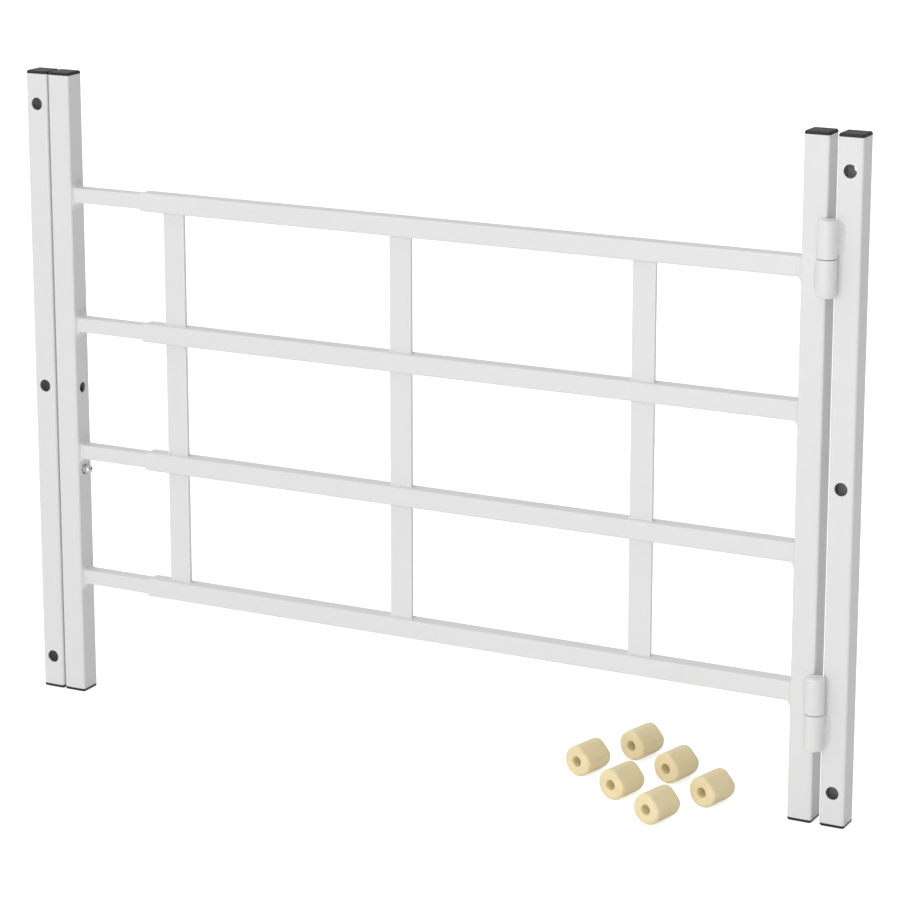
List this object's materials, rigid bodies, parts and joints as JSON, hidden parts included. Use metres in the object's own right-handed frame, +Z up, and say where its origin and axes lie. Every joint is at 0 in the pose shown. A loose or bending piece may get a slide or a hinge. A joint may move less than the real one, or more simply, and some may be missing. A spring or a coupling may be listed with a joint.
{
  "type": "window security bar",
  "caption": "Swing-open window guard: a hinged, telescoping square-tube grille between two screw-fixed jamb posts, with a latch bolt and loose wall spacers.",
  "frame": {"origin": "middle of the right jamb post's back face, on the centre of its screw pattern", "axes": "+X to the right along the guard, +Y from the room towards the wall, +Z up"},
  "size_m": [0.7557, 0.1627, 0.552],
  "materials": {
    "white_powder_coat": "gloss white powder coat on steel tube",
    "black_plastic": "satin moulded black plastic",
    "natural_nylon": "natural cream nylon, satin",
    "steel_pin": "turned steel",
    "bright_steel": "bright zinc-plated steel",
    "guide_nylon": "white nylon"
  },
  "bodies": {
    "right_jamb": {"right_jamb_post": "white_powder_coat", "right_jamb_cap_top": "black_plastic", "right_jamb_cap_bottom": "black_plastic", "jamb_knuckle_upper": "white_powder_coat", "jamb_knuckle_lower": "white_powder_coat", "hinge_pin_upper": "steel_pin", "hinge_pin_lower": "steel_pin", "jamb_hinge_beads": "white_powder_coat", "wall_spacer_1": "natural_nylon", "wall_spacer_2": "natural_nylon", "wall_spacer_3": "natural_nylon", "wall_spacer_4": "natural_nylon", "wall_spacer_5": "natural_nylon", "wall_spacer_6": "natural_nylon"},
    "gate_frame": {"hinge_post": "white_powder_coat", "hinge_post_cap_top": "black_plastic", "hinge_post_cap_bottom": "black_plastic", "outer_bar_1": "white_powder_coat", "outer_bar_2": "white_powder_coat", "outer_bar_3": "white_powder_coat", "outer_bar_4": "white_powder_coat", "upright_left_top": "white_powder_coat", "upright_left_middle": "white_powder_coat", "upright_left_bottom": "white_powder_coat", "upright_centre_top": "white_powder_coat", "upright_centre_middle": "white_powder_coat", "upright_centre_bottom": "white_powder_coat", "upright_right_top": "white_powder_coat", "upright_right_middle": "white_powder_coat", "upright_right_bottom": "white_powder_coat", "outer_bar_beads": "white_powder_coat", "upright_beads": "white_powder_coat", "gate_knuckle_upper": "white_powder_coat", "gate_knuckle_lower": "white_powder_coat", "gate_hinge_beads": "white_powder_coat"},
    "sliding_frame": {"latch_post": "white_powder_coat", "latch_post_cap_top": "black_plastic", "latch_post_cap_bottom": "black_plastic", "inner_bar_1": "white_powder_coat", "inner_bar_2": "white_powder_coat", "inner_bar_3": "white_powder_coat", "inner_bar_4": "white_powder_coat", "inner_bar_beads": "white_powder_coat", "latch_guide": "guide_nylon"},
    "latch_plunger": {"latch_bolt": "bright_steel", "latch_clip": "bright_steel", "latch_knob": "bright_steel"},
    "left_jamb": {"left_jamb_post": "white_powder_coat", "left_jamb_cap_top": "black_plastic", "left_jamb_cap_bottom": "black_plastic"}
  },
  "joints": [
    {"name": "gate_swing", "type": "hinge", "parent": "right_jamb", "child": "gate_frame", "pos_m": [-0.0137, -0.0287, 0], "axis": [0, 0, 1], "range_deg": [0, 180]},
    {"name": "width_adjust", "type": "slide", "parent": "gate_frame", "child": "sliding_frame", "axis": [-1, 0, 0], "range_m": [-0.058, 0.312]},
    {"name": "latch_slide", "type": "slide", "parent": "sliding_frame", "child": "latch_plunger", "axis": [-1, 0, 0], "range_m": [0, 0.006]},
    {"name": "left_jamb_setting", "type": "slide", "parent": "right_jamb", "child": "left_jamb", "axis": [-1, 0, 0], "range_m": [-0.058, 0.312]}
  ],
  "couplings": [
    {"joint": "left_jamb_setting", "follows": "width_adjust", "ratio": 1}
  ]
}
